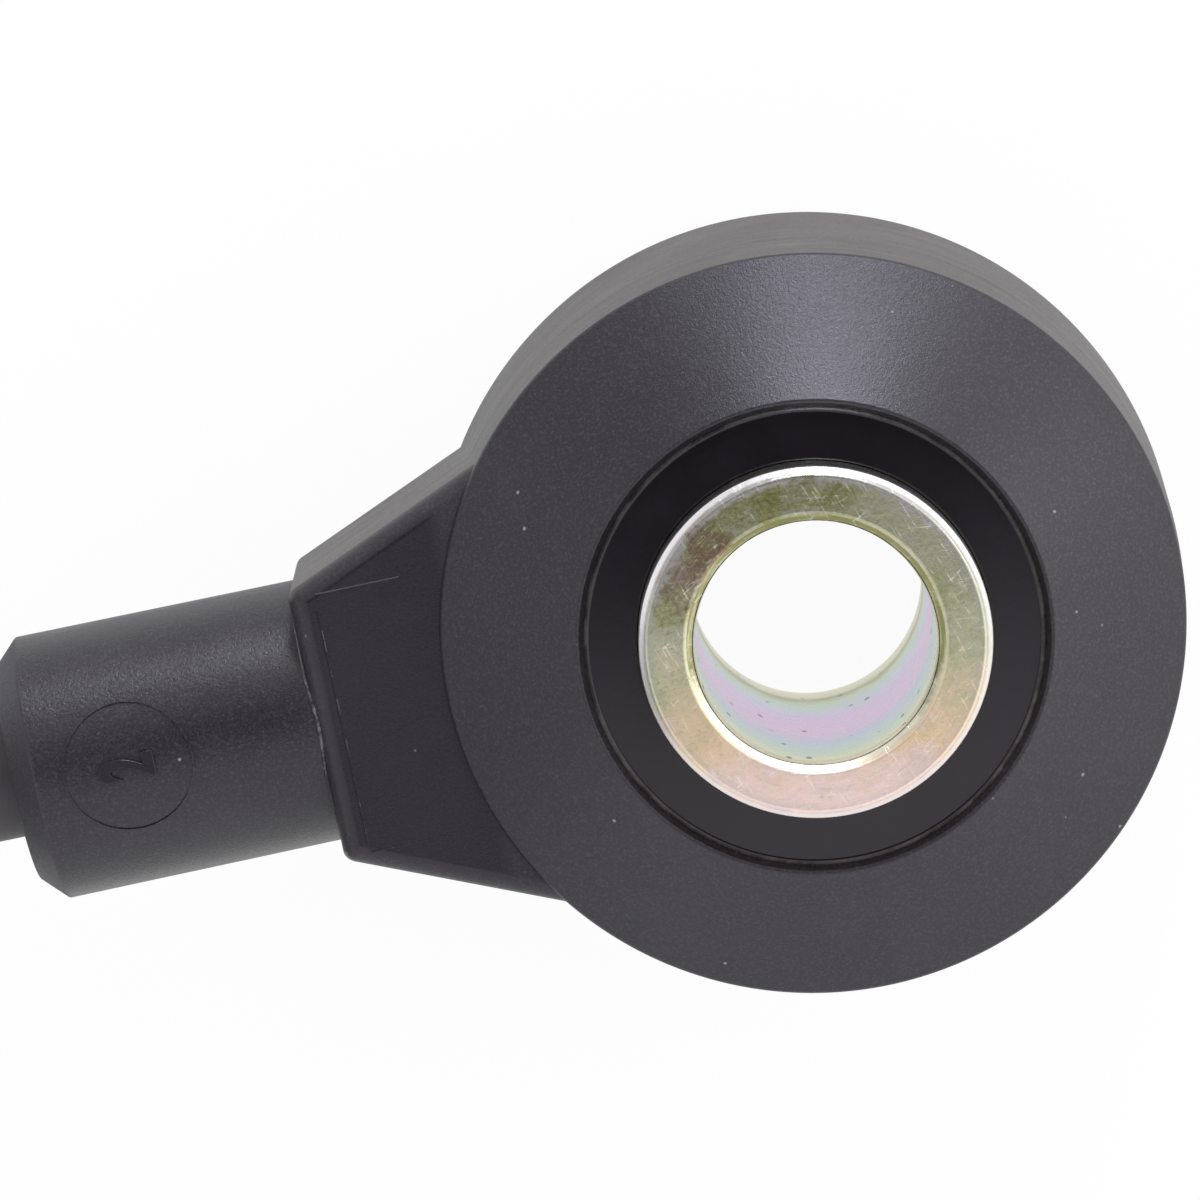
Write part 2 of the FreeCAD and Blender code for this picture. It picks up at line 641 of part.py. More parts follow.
# Terminals: a blade with a tapered tip, and a barrel crimped round its lead
CRIMP_START = f"({CAVITY_START} + seal_length)"
CRIMP_END = f"({CRIMP_START} + crimp_length)"
BLADE_TIP = f"({MOUTH} - blade_inset)"
terminals = []
for number, place in enumerate(lateral, 1):
    terminal = new_body(f"terminal_{number}")
    barrel_corners = [
        (f"-{CRIMP_START}", "core_radius"),
        (f"-{CRIMP_START}", "(core_radius + crimp_wall)"),
        (f"-{CRIMP_END}", "(core_radius + crimp_wall)"),
        (f"-({CRIMP_END} + crimp_wall)", half_blade),
        (f"-({CRIMP_END} + crimp_wall)", "0"),
        (f"-{CRIMP_END}", "0"),
        (f"-{CRIMP_END}", "core_radius"),
    ]
    beside = ("0", place, "0")
    revolve(terminal, outline(terminal, "XY_Plane", barrel_corners, beside), "H_Axis")
    blade_corners = [
        (f"-{CRIMP_END}", f"({place} - blade_width / 2)"),
        (f"-{CRIMP_END}", f"({place} + blade_width / 2)"),
        (f"-({BLADE_TIP} - blade_width / 2)", f"({place} + blade_width / 2)"),
        (f"-{BLADE_TIP}", f"({place} + blade_width / 4)"),
        (f"-{BLADE_TIP}", f"({place} - blade_width / 4)"),
        (f"-({BLADE_TIP} - blade_width / 2)", f"({place} - blade_width / 2)"),
    ]
    pad(terminal, outline(terminal, "XY_Plane", blade_corners), "blade_thickness", both_ways=True)
    terminals.append(terminal)

# Wire seals: two sealing ribs on each lead
seals = []
for number, place in enumerate(lateral, 1):
    groove_start = f"({CAVITY_START} + seal_length / 3)"
    groove_end = f"({CAVITY_START} + seal_length * 2 / 3)"
    groove_radius = "(cavity_radius - seal_groove)"
    seal_corners = [
        (f"-{CAVITY_START}", "core_radius"),
        (f"-{CAVITY_START}", "cavity_radius"),
        (f"-{groove_start}", "cavity_radius"),
        (f"-{groove_start}", groove_radius),
        (f"-{groove_end}", groove_radius),
        (f"-{groove_end}", "cavity_radius"),
        (f"-{CRIMP_START}", "cavity_radius"),
        (f"-{CRIMP_START}", "core_radius"),
    ]
    beside = ("0", place, "0")
    seals.append(turned_body(f"wire_seal_{number}", seal_corners, "XY_Plane", "H_Axis", beside))

# Rubber boot on the lead, ringed outside, with a plug that fills the connector's rear
strain_boot = new_body("connector_boot")
RINGS = 2
slope = "((strain_root_radius - strain_end_radius) / strain_length)"
boot_profile = [("0", "cable_radius"), ("0", "strain_end_radius")]
for number in range(RINGS):
    start = f"(strain_length * {(number + 1) / (RINGS + 1) - 0.08:.3f})"
    end = f"(strain_length * {(number + 1) / (RINGS + 1) + 0.08:.3f})"
    for place, depth in ((start, "0"), (start, "1"), (end, "1"), (end, "0")):
        radius = f"(strain_end_radius + {slope} * {place} - {depth} * strain_groove)"
        boot_profile.append((f"-{place}", radius))
boot_profile += [("-strain_length", "strain_root_radius"), ("-strain_length", "cable_radius")]
revolve(strain_boot, outline(strain_boot, "XY_Plane", boot_profile), "H_Axis")
pad(strain_boot, outline(strain_boot, "YZ_Plane", lip_room, at(LIP_START)), "lip_length", backwards=True)
fan_end = f"({lateral[-1]} + core_radius + lead_gap)"
fan_middle = f"(cable_radius + ({fan_end} - cable_radius) * 3 / 4)"
fan_room = [
    ("-strain_cable_grip", "-cable_radius"),
    ("-strain_cable_grip", "cable_radius"),
    (f"-{LIP_START}", fan_middle),
    (f"-{CAVITY_START}", fan_end),
    (f"-{CAVITY_START}", f"-{fan_end}"),
    (f"-{LIP_START}", f"-{fan_middle}"),
]
pocket(strain_boot, outline(strain_boot, "XY_Plane", fan_room), "2 * lead_room", both_ways=True)

cable_far_end = turned_body(
    "cable_far_end",
    [("0", "0"), ("0", "cable_radius"), ("-strain_cable_grip", "cable_radius"), ("-strain_cable_grip", "0")],
    "XY_Plane",
    "H_Axis",
)
plug_insert = joined("connector_inside", [terminal_lock, *terminals])
connector_housing = cut_by("connector_housing", shell, plug_insert)


# The lead's path and the leads in the connector are straight runs with an arc at each corner
ARC_REACH = 0.45


def rounded_route(points, cut=None):
    """The route's runs and tangent arcs in order, run first, and the arcs' radii.

    A cut is how far before its corner each arc starts; without one the shorter run decides.
    """
    pieces = []
    radii = []
    start = points[0]
    for before, corner, after in zip(points, points[1:], points[2:]):
        into = (corner - before).normalize()
        out = (after - corner).normalize()
        half_turn = into.getAngle(out) / 2
        back = cut or ARC_REACH * min((corner - before).Length, (after - corner).Length)
        radii.append(back / math.tan(half_turn))
        first = corner - into * back
        last = corner + out * back
        middle = corner + (out - into).normalize() * radii[-1] * (1 / math.cos(half_turn) - 1)
        pieces += [Part.LineSegment(start, first), Part.Arc(first, middle, last)]
        start = last
    pieces.append(Part.LineSegment(start, points[-1]))
    return pieces, radii


def halved(run):
    """A straight run as its two halves."""
    middle = (run.StartPoint + run.EndPoint) / 2
    return Part.LineSegment(run.StartPoint, middle), Part.LineSegment(middle, run.EndPoint)


def swept(pieces, radius):
    """A round solid along a path, whose volume has to be its section times its length."""
    path = Part.Wire([piece.toShape() for piece in pieces])
    start = pieces[0].StartPoint
    section = Part.Wire(Part.Circle(start, pieces[0].EndPoint - start, radius).toShape())
    solid = path.makePipeShell([section], True, False)
    share = solid.Volume / (math.pi * radius**2 * path.Length)
    if abs(share - 1) > 0.01:
        raise ValueError(f"a swept piece has {share:.3f} of its volume")
    return solid


def free_shape(label, shape):
    piece = doc.addObject("Part::Feature", label)
    piece.Label = label
    piece.Shape = shape
    return piece


def over_coil(angle, radius, height):
    """A point at an angle round the coil's centre."""
    turn = math.radians(angle)
    centre = Vector(size("coil_x"), size("coil_y"), 0)
    return centre + Vector(radius * math.cos(turn), radius * math.sin(turn), height)


# The lead: out of the boot and down to the bench, round its coil, and on top of the turns into
# the connector that lies on them. A corner of the coil stands every CORNER_STEP degrees
FIRST_CORNER = 77
LAST_CORNER = 797
CORNER_STEP = 30
CLIMB_START = 247
CLIMB_SPAN = 150
cable_radius = size("cable_radius")
coil_level = size("cable_radius + bench_gap")
layer_pitch = size("2 * cable_radius + layer_gap")
corner_radius = size("coil_radius") / math.cos(math.radians(CORNER_STEP / 2))


def over_coil(angle, inward, height):
    """A corner at an angle round the coil, drawn in from its corners' circle."""
    turn = math.radians(angle)
    reach = corner_radius - inward
    return Vector(size("coil_x") + reach * math.cos(turn), size("coil_y") + reach * math.sin(turn), height)


def turn_height(angle):
    """The wound lead's axis: past CLIMB_START each turn climbs on the one before."""
    layer, past = divmod(angle - CLIMB_START, 360)
    share = min(past / CLIMB_SPAN, 1)
    return coil_level + layer_pitch * (layer + (1 - math.cos(math.pi * share)) / 2)


lead_down = [
    Vector(-size(BOOT_END), 0, size("cable_axis_height")),
    Vector(-36.4, 0, size("cable_axis_height")),
    Vector(-44.4, 1.0, 5.1),
    Vector(-52.3, 4.75, coil_level),
]
turns = [
    over_coil(angle, 0, turn_height(angle)) for angle in range(FIRST_CORNER, LAST_CORNER + 1, CORNER_STEP)
]
plug_height = size(PLUG_AXIS)
lead_up = [
    over_coil(826, 0.35, plug_height - 2.65),
    over_coil(855, 1.15, plug_height - 1.05),
    Vector(size("plug_x"), size("plug_y + plug_approach"), plug_height),
    Vector(size("plug_x"), size("plug_y"), plug_height),
]
path, radii = rounded_route([*lead_down, *turns, *lead_up])
coil_start = 2 * (len(lead_down) - 3)
coil_end = 2 * (len(lead_down) + len(turns) - 1)
out_half, coil_first = halved(path[coil_start])
coil_last, tail_first = halved(path[coil_end])
cable = free_shape("cable", swept([*path[:coil_start], out_half], cable_radius))
coil_path = [coil_first, *path[coil_start + 1 : coil_end], coil_last]
cable_coil = free_shape("cable_coil", swept(coil_path, cable_radius))
cable_tail = free_shape("cable_tail", swept([tail_first, *path[coil_end + 1 :]], cable_radius))
print("lead's radii", [round(radius, 1) for radius in radii])
print("lead's length", round(sum(piece.length() for piece in path), 1))

# Insulated leads inside the connector, from the jacket's end to the barrels. The outer two make
# an S of two arcs, whose corners lie one reach from its ends
BEND_SHARE = 0.95
fan_length = size(f"{CAVITY_START} - strain_cable_grip")
leads = []
for number, place in enumerate(lateral, 1):
    across = size(place)
    inside = math.copysign(size("lead_offset"), across) if across else 0
    start = Vector(-size("strain_cable_grip"), inside, 0)
    end = Vector(-size(CRIMP_END), across, 0)
    if across:
        reach = (fan_length**2 + (across - inside) ** 2) / (4 * fan_length)
        corners = [start - Vector(reach, 0, 0), Vector(reach - size(CAVITY_START), across, 0)]
        lead_path, bend_radii = rounded_route([start, *corners, end], BEND_SHARE * reach)
        print("lead's radii in the connector", [round(radius, 2) for radius in bend_radii])
        lead_shape = swept(lead_path, size("core_radius"))
    else:
        lead_shape = Part.makeCylinder(size("core_radius"), (end - start).Length, start, end - start)
    leads.append(free_shape(f"lead_{number}", lead_shape))

# The connector's pieces turned and carried to where they lie on the coil
for piece in (shell, terminal_lock, strain_boot, cable_far_end, *terminals, *seals, *leads):
    piece.Placement = Placement(Vector(), Rotation(Vector(0, 0, 1), 90))
    piece.setExpression("Placement.Base.x", linked("plug_x"))
    piece.setExpression("Placement.Base.y", linked("plug_y"))
    piece.setExpression("Placement.Base.z", linked(PLUG_AXIS))

PIECES = [
    housing,
    sleeve,
    insulating_tube,
    lower_washer,
    lower_contact,
    ceramic,
    upper_contact,
    upper_washer,
    seismic_mass,
    disc_spring,
    ring_nut,
    *cores,
    shield_braid,
    crimp_ferrule,
    cable_entry,
    cable,
    cable_coil,
    cable_tail,
    strain_boot,
    cable_far_end,
    connector_housing,
    terminal_lock,
    *terminals,
    *seals,
    *leads,
]

doc.recompute()
for thing in doc.Objects:
    if "Invalid" in thing.State or "Error" in thing.State:
        raise ValueError(f"{thing.Label} did not recompute: {thing.State}")
for piece in PIECES:
    if piece.Shape.isNull() or not piece.Shape.isValid():
        raise ValueError(f"{piece.Label} has no valid shape")
    if len(piece.Shape.Solids) != 1:
        raise ValueError(f"{piece.Label} has {len(piece.Shape.Solids)} solids")

os.makedirs("parts", exist_ok=True)
for piece in PIECES:
    piece.Shape.exportStep(f"parts/{piece.Label}.step")
    print(piece.Label, round(piece.Shape.Volume, 2))
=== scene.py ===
import json
import math
import bpy
from mathutils import Matrix, Vector


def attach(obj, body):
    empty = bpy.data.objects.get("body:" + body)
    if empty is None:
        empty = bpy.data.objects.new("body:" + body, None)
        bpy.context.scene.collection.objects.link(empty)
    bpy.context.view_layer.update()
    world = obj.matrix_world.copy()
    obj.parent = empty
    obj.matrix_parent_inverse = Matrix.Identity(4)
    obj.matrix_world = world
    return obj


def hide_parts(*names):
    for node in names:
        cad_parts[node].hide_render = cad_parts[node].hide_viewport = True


# Engine knock sensor: moulded ring with a yellow steel bush, neck, boot, lead and plug.
# Blender works in metres; the sizes below are in millimetres and go through mm().
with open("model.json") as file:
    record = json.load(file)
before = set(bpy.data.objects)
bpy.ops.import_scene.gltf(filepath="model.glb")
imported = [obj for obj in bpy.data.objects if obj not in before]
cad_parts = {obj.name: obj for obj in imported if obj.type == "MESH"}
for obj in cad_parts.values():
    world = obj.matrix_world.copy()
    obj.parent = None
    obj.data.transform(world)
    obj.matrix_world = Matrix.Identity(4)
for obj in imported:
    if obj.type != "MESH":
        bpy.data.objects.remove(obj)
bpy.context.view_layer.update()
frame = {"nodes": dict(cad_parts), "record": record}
bpy.ops.object.select_all(action="DESELECT")
nodes = frame["nodes"]


def mm(*values):
    return tuple(value / 1000 for value in values)


# Camera: a long lens a third of a metre above the bench, rolled 12 degrees
camera = {
    "place": mm(2.042, 45.244, 347.139),
    "right": (0.978148, -0.207912, -0.000175),
    "up": (0.206125, 0.969851, -0.130007),
    "lens": 288.4,
    "sensor": 36,
    "near": 0.01,
    "far": 20,
}
cameraData = bpy.data.cameras.new("camera")
cameraData.lens = camera["lens"]
cameraData.sensor_width = camera["sensor"]
cameraData.clip_start = camera["near"]
cameraData.clip_end = camera["far"]
cameraObject = bpy.data.objects.new("camera", cameraData)
bpy.context.scene.collection.objects.link(cameraObject)
right = Vector(camera["right"]).normalized()
up = Vector(camera["up"]).normalized()
turn = Matrix((right, up, right.cross(up))).transposed().to_4x4()
cameraObject.matrix_world = Matrix.Translation(camera["place"]) @ turn
bpy.context.scene.camera = cameraObject
print("camera placed")


# Shader maths: one socket of a node tree, with arithmetic
class Flow:
    def __init__(self, tree, socket=None):
        self.tree = tree
        self.socket = socket

    def node(self, kind, settings=None, inputs=None, output=0):
        made = self.tree.nodes.new(kind)
        for name, value in (settings or {}).items():
            if name == "stops":
                band = made.color_ramp.elements
                while len(band) < len(value):
                    band.new(0.5)
                for stop, (at, colour) in zip(band, value):
                    stop.position = at
                    stop.color = (*colour, 1)
            else:
                setattr(made, name, value)
        for name, value in (inputs or {}).items():
            if isinstance(value, Flow):
                self.tree.links.new(value.socket, made.inputs[name])
            else:
                made.inputs[name].default_value = value
        return Flow(self.tree, made.outputs[output])

    def math(self, operation, first, second=0.0, clamp=False):
        return self.node("ShaderNodeMath", {"operation": operation, "use_clamp": clamp}, {0: first, 1: second})

    def __add__(self, other):
        return self.math("ADD", self, other)

    def __radd__(self, other):
        return self.math("ADD", other, self)

    def __sub__(self, other):
        return self.math("SUBTRACT", self, other)

    def __rsub__(self, other):
        return self.math("SUBTRACT", other, self)

    def __mul__(self, other):
        return self.math("MULTIPLY", self, other)

    def __rmul__(self, other):
        return self.math("MULTIPLY", other, self)

    def __truediv__(self, other):
        return self.math("DIVIDE", self, other)

    def clamped(self):
        return self.math("ADD", self, 0.0, True)

    def step(self, low, high):
        limits = {"From Min": low, "From Max": high, "To Min": 0.0, "To Max": 1.0}
        return self.node("ShaderNodeMapRange", {"interpolation_type": "SMOOTHSTEP"}, {"Value": self, **limits})

    def blend(self, first, second):
        colours = {0: self}
        for slot, value in ((6, first), (7, second)):
            colours[slot] = value if isinstance(value, Flow) else (*value, 1)
        return self.node("ShaderNodeMix", {"data_type": "RGBA"}, colours, 2)

    def scaled(self, amounts):
        return self.node("ShaderNodeVectorMath", {"operation": "MULTIPLY"}, {0: self, 1: amounts}, 0)

    def facing(self, target):
        return self.node("ShaderNodeVectorMath", {"operation": "DOT_PRODUCT"}, {0: self, 1: target}, 1)


def newMaterial(name):
    material = bpy.data.materials.new(name)
    material.use_nodes = True
    flow = Flow(material.node_tree)
    place = flow.node("ShaderNodeTexCoord", output="Object").scaled((1000, 1000, 1000))
    return material, flow, place


def axes(flow, place):
    split = flow.node("ShaderNodeSeparateXYZ", inputs={0: place}).socket.node
    return [Flow(flow.tree, split.outputs[axis]) for axis in range(3)]


def radial(x, y):
    square = x * x + y * y
    return square.math("SQRT", square)


def noise(flow, place, scale, detail=2.0, roughness=0.5, distortion=0.0):
    amounts = {
        "Vector": place,
        "Scale": scale,
        "Detail": detail,
        "Roughness": roughness,
        "Distortion": distortion,
    }
    return flow.node("ShaderNodeTexNoise", {"noise_dimensions": "3D"}, amounts, "Fac")


def grains(flow, place, scale, size, share):
    # sparse round specks: the nearest cell's distance under a size, in a share of the cells
    cells = {"Vector": place, "Scale": scale}
    distance = flow.node("ShaderNodeTexVoronoi", {"feature": "F1"}, cells, "Distance")
    tint = flow.node("ShaderNodeTexVoronoi", {"feature": "F1"}, cells, "Color")
    lucky = axes(flow, tint)[0]
    return (1 - distance.step(size * 0.6, size)) * lucky.step(1 - share, 1 - share * 0.9)


def finish(material, flow, colour, roughness, metallic, bump, strength, depth):
    surface = material.node_tree.nodes["Principled BSDF"]
    relief = {"Strength": strength, "Distance": depth / 1000, "Height": bump}
    values = {
        "Base Color": colour,
        "Roughness": roughness,
        "Metallic": metallic,
        "Normal": flow.node("ShaderNodeBump", inputs=relief),
    }
    for name, value in values.items():
        if isinstance(value, Flow):
            material.node_tree.links.new(value.socket, surface.inputs[name])
        else:
            surface.inputs[name].default_value = value
    return material


# Black moulding: satin, with a glossy recess, fine grain, rubbed patches, dust, painted shade in the recess and
# on the neck's face, a painted glint along the recess's rim and a painted warm reflection on the upright walls.
# Zones are given as the pair of millimetres, on the radius or an axis, over which they fade in.
moulded = {
    "colour": (0.0100, 0.0090, 0.0105),
    "rubbed": (0.0160, 0.0150, 0.0165),
    # painted shade: darker colour for the recess and the neck's face
    "paintedShade": (0.0060, 0.0045, 0.0055),  # in the recess and on the neck's face
    "speck": (0.044, 0.042, 0.051),
    # painted warm reflection on the upright walls
    "wall": (0.0230, 0.0182, 0.0135),
    # dust, and the painted glint along the recess's rim
    "dustAndRimGlint": (0.22, 0.21, 0.20),
    "satin": 0.34,
    "neckSatin": 0.20,
    "bootSatin": 0.26,
    "gloss": 0.12,
    "patchScale": 0.22,
    "grainScale": 8.0,
    "fineScale": 17.0,
    "speckleScale": 9.0,
    "streakStretch": (0.3, 0.3, 4.0),
    "coarseDust": (1.1, 0.09, 0.06),  # scale, size and share of the grains
    "fineDust": (0.8, 0.05, 0.12),
    "recessRadius": (7.9, 8.15),
    "recessHeight": (15.6, 15.9),
    "rimInside": (7.88, 7.95),
    "rimOutside": (8.00, 8.06),
    "rimHeight": (15.9, 16.0),
    "coneFrom": 8.2,
    "neckStart": (-18.0, -17.7),
    "neckStop": (-12.6, -11.8),
    "neckHeight": (12.4, 12.8),
    "ringStart": (-18.2, -17.6),
    "bootEnd": (-28.0, -27.8),
    "relief": 0.5,
    "reliefDepth": 0.05,
}


def mouldedPlastic():
    m = moulded
    material, flow, place = newMaterial("mouldedPlastic")
    x, y, z = axes(flow, place)
    radius = radial(x, y)
    upward = axes(flow, flow.node("ShaderNodeNewGeometry", output="Normal"))[2]
    patches = noise(flow, place, m["patchScale"], 4.0, 0.6)
    grain = noise(flow, place, m["grainScale"], 3.0, 0.75)
    fine = noise(flow, place, m["fineScale"], 2.0, 0.6)
    speckle = noise(flow, place, m["speckleScale"], 2.0, 0.9).step(0.44, 0.80)
    streaks = noise(flow, place.scaled(m["streakStretch"]), 1.0, 3.0, 0.6)
    # where the ring, its recess, the neck's face, the upright walls and the boot's end are
    onRing = x.step(*m["ringStart"])
    recess = (1 - radius.step(*m["recessRadius"])) * z.step(*m["recessHeight"])
    neckFace = (1 - x.step(*m["neckStop"])) * x.step(*m["neckStart"])
    neckFace = neckFace * upward.step(0.80, 0.98) * z.step(*m["neckHeight"])
    wall = 1 - upward.math("ABSOLUTE", upward).step(0.05, 0.55)
    endCut = 1 - x.step(*m["bootEnd"])
    smooth = (recess + neckFace * 0.8).clamped()
    # dust lies in grains, and a broken pale line along the recess's rim is a painted glint
    paintedRimGlint = radius.step(*m["rimInside"]) * (1 - radius.step(*m["rimOutside"])) * z.step(*m["rimHeight"])
    paintedRimGlint = paintedRimGlint * noise(flow, place, 0.8, 3.0, 0.7).step(0.42, 0.60)
    dustAndRimGlint = grains(flow, place, *m["coarseDust"]) + grains(flow, place, *m["fineDust"]) * 0.6
    dustAndRimGlint = dustAndRimGlint + paintedRimGlint * grain * 0.35
    worn = (patches.step(0.45, 0.72) * 0.7 + grain * 0.3).clamped()
    colour = worn.blend(m["colour"], m["rubbed"])
    # painted shade darkens the recess and the neck's face
    colour = (smooth * 0.5).blend(colour, m["paintedShade"])
    colour = (speckle * (1 - smooth * 0.9) + endCut * 0.3).clamped().blend(colour, m["speck"])
    # upright walls are tinted warm brown in streaks: a painted reflection
    paintedWallReflection = (wall * (0.05 + streaks * 1.7) * (0.2 + onRing * 0.8)).clamped()
    colour = paintedWallReflection.blend(colour, m["wall"])
    colour = dustAndRimGlint.clamped().blend(colour, m["dustAndRimGlint"])
    satin = (m["satin"] + wall * 0.03) * onRing + (m["bootSatin"] + wall * 0.16) * (1 - onRing)
    satin = satin + (m["neckSatin"] - m["satin"]) * neckFace
    satin = satin + ((radius - m["coneFrom"]) / 5).clamped() * onRing * 0.07 + endCut * 0.2
    satin = satin + (grain - 0.5) * 0.22 + (patches - 0.5) * 0.12 + (streaks - 0.5) * wall * 0.2
    gloss = m["gloss"] + (patches - 0.5) * 0.08
    roughness = satin * (1 - recess) + gloss * recess
    bump = (grain * 0.6 + fine * 0.4) * (1 - smooth * 0.92)
    return finish(material, flow, colour, roughness, 0.0, bump, m["relief"], m["reliefDepth"])


# Yellow-passivated steel: blotchy olive and pink film, scratches, rainbow bands down the bore, and painted
# highlights on the outer edge, the lip and the mouth
passivated = {
    "olive": (0.26, 0.27, 0.105),
    "pale": (0.58, 0.59, 0.37),
    "orange": (0.86, 0.66, 0.42),
    "pink": (0.96, 0.76, 0.68),
    "freckle": (0.15, 0.15, 0.06),
    # bare steel of worn edges, also used as a painted highlight
    "bare": (0.93, 0.93, 0.92),
    "lip": (0.50, 0.50, 0.47),
    "mouth": (0.21, 0.21, 0.08),
    "glint": (0.90, 0.88, 0.66),
    "pit": (0.07, 0.06, 0.045),
    "scratch": (0.88, 0.87, 0.80),
    "stain": {
        "at": (-3.6, 3.6),
        "colour": (0.24, 0.155, 0.115),
        "ragged": 9.0,
        "edge": (3.4, 0.6),  # squared distances over which it fades in
        "share": 0.85,
    },
    "scuff": {
        "at": (3.9, 3.5),
        "colour": (0.62, 0.62, 0.47),
        "ragged": 14.0,
        "edge": (6.0, 1.0),
        "share": 0.55,
    },
    "bands": [
        (0.00, (0.78, 0.74, 0.60)),  # 0 at the foot of the bore, 1 at the bolt seat
        (0.09, (0.62, 0.60, 0.38)),
        (0.13, (0.25, 0.26, 0.10)),
        (0.19, (0.46, 0.56, 0.36)),
        (0.28, (0.46, 0.56, 0.62)),
        (0.40, (0.62, 0.45, 0.70)),
        (0.60, (0.67, 0.45, 0.68)),
        (0.73, (0.47, 0.54, 0.68)),
        (0.85, (0.50, 0.64, 0.54)),
        (0.97, (0.74, 0.72, 0.42)),
    ],
    "scratches": [
        {"across": (0.94, 0.34), "fine": 12, "long": 0.6, "rare": 0.60},
        {"across": (0.5, -0.87), "fine": 9, "long": 0.9, "rare": 0.62},
        {"across": (0.1, 0.99), "fine": 14, "long": 0.5, "rare": 0.63},
    ],
    "pits": (1.2, 0.17, 0.7),  # scale, size and share
    "height": 18,
    "boreRadius": (4.21, 4.23),
    "mouthRadius": (4.47, 4.52),
    "lipRadius": (5.50, 5.80),
    "edgeRadius": (5.93, 6.02),
    "edgeHeight": (17.2, 17.6),
}


def passivatedSteel():
    p = passivated
    material, flow, place = newMaterial("passivatedSteel")
    x, y, z = axes(flow, place)
    radius = radial(x, y)
    around = y.math("ARCTAN2", y, x)
    polar = flow.node("ShaderNodeCombineXYZ", inputs={0: radius * 7.0, 1: around * 2.2, 2: z * 0.6})
    blotch = noise(flow, place, 0.50, 5.0, 0.62, 0.6)
    mottle = noise(flow, place, 2.2, 5.0, 0.7, 0.4)
    freckle = noise(flow, place, 6.0, 3.0, 0.7)
    turning = noise(flow, polar, 1.0, 4.0, 0.65)
    # the film turns from olive at the back to pink in front
    side = y * -0.98 - (x * 0.25).clamped() * 1.5 + (blotch - 0.5) * 5.5 + (mottle - 0.5) * 4.0
    side = side.step(-6.2, 6.0)
    stops = [(0.0, p["olive"]), (0.5, p["pale"]), (0.78, p["orange"]), (1.0, p["pink"])]
    tone = flow.node("ShaderNodeValToRGB", {"stops": stops}, {0: side})
    for spot in (p["stain"], p["scuff"]):
        across, away = x - spot["at"][0], y - spot["at"][1]
        mask = (across * across + away * away + (mottle - 0.5) * spot["ragged"]).step(*spot["edge"])
        tone = (mask * spot["share"]).clamped().blend(tone, spot["colour"])
    dull = (1 - side) * (1 - x.step(0.0, 3.5) * 0.85)
    tone = (mottle.step(0.46, 0.66) * dull * 0.75).blend(tone, p["olive"])
    tone = (freckle.step(0.50, 0.36) * dull * 0.6).blend(tone, p["freckle"])
    worn = (freckle.step(0.50, 0.72) * 0.45 + turning.step(0.52, 0.70) * 0.30).clamped()
    tone = worn.blend(tone, p["pale"])
    tone = (turning.step(0.60, 0.42) * blotch.step(0.45, 0.6) * 0.35).blend(tone, p["lip"])
    # bore, its mouth and the rounded lip outside
    inside = 1 - radius.step(*p["boreRadius"])
    mouth = (1 - radius.step(*p["mouthRadius"])) * (1 - inside)
    lip = (radius + (mottle - 0.5) * 0.7).step(*p["lipRadius"])
    lip = lip * (mottle * 0.6 + turning * 0.4).step(0.34, 0.52)
    edge = radius.step(*p["edgeRadius"]) * z.step(*p["edgeHeight"]) * mottle.step(0.22, 0.42)
    # the lip and the worn bare edge are painted paler toward the back: a painted highlight over real wear
    tone = (lip * (0.30 + y.step(-1.0, 4.0) * 0.55)).blend(tone, p["lip"])
    tone = (edge * (0.50 + y.step(-2.5, 4.0) * 0.45)).blend(tone, p["bare"])
    # painted highlight: the mouth turns to the pale glint colour toward the front
    shine = (turning.step(0.42, 0.66) * 0.35 + side.step(0.42, 0.90) * 0.85).clamped()
    tone = (mouth * 0.95).blend(tone, shine.blend(p["mouth"], p["glint"]))
    down = (z + (blotch - 0.5) * 1.5 + (mottle - 0.5) * 0.7) / p["height"]
    bands = flow.node("ShaderNodeValToRGB", {"stops": p["bands"]}, {0: down})
    pits = grains(flow, place.scaled((1, 1, 0.45)), *p["pits"]) * inside
    colour = pits.clamped().blend(inside.blend(tone, bands), p["pit"])
    marks = 0.0
    for scratch in p["scratches"]:
        cosine, sine = scratch["across"]
        rare = scratch["rare"]
        grid = {
            0: (x * cosine + y * sine) * scratch["fine"],
            1: (y * cosine - x * sine) * scratch["long"],
            2: z + rare * 90,
        }
        lines = noise(flow, flow.node("ShaderNodeCombineXYZ", inputs=grid), 1.0, 2.0, 0.8, 0.5)
        marks = marks + lines.step(rare, rare + 0.12)
    marks = marks * (1 - inside) * mottle.step(0.35, 0.65)
    colour = (marks * 0.5).clamped().blend(colour, p["scratch"])
    roughness = 0.24 + mottle * 0.08 + marks * 0.08 + side * 0.16 * (1 - inside) - mouth * 0.10
    bump = mottle * 0.4 + turning * 0.3 + freckle * 0.3 - marks * 0.3
    return finish(material, flow, colour, roughness, 1.0, bump * (1 - inside * 0.7), 0.45, 0.03)


